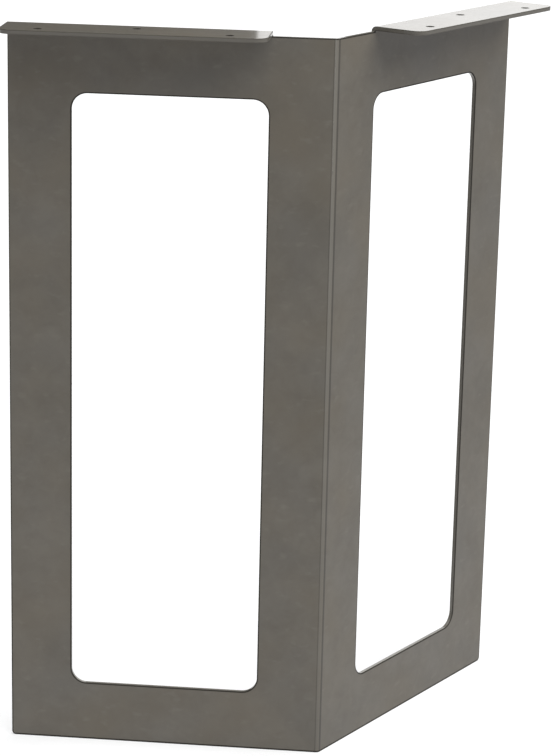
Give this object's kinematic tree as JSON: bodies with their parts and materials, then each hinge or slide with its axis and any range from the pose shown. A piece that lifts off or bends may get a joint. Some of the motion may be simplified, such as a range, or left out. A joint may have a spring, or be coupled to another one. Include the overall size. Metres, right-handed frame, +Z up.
{
  "type": "boomerang table leg",
  "caption": "Free-standing V-shaped table leg folded from one steel sheet, with a large window in each wing and outward top flanges drilled for screws.",
  "frame": {"origin": "on the floor, under the middle of the leg's outline seen from above", "axes": "+Z up, from the foot to the flanges; X across the two wings, with the leg the same on both sides of x = 0; -Y the way the upright fold and the flanges point, +Y towards the hollow of the V"},
  "size_m": [0.5726, 0.1666, 0.711],
  "materials": {
    "bare_steel": "bare cold-rolled sheet with a satin, slightly clouded mill finish, warm dark grey"
  },
  "bodies": {
    "root": {"boomerang_leg": "bare_steel"}
  },
  "joints": []
}
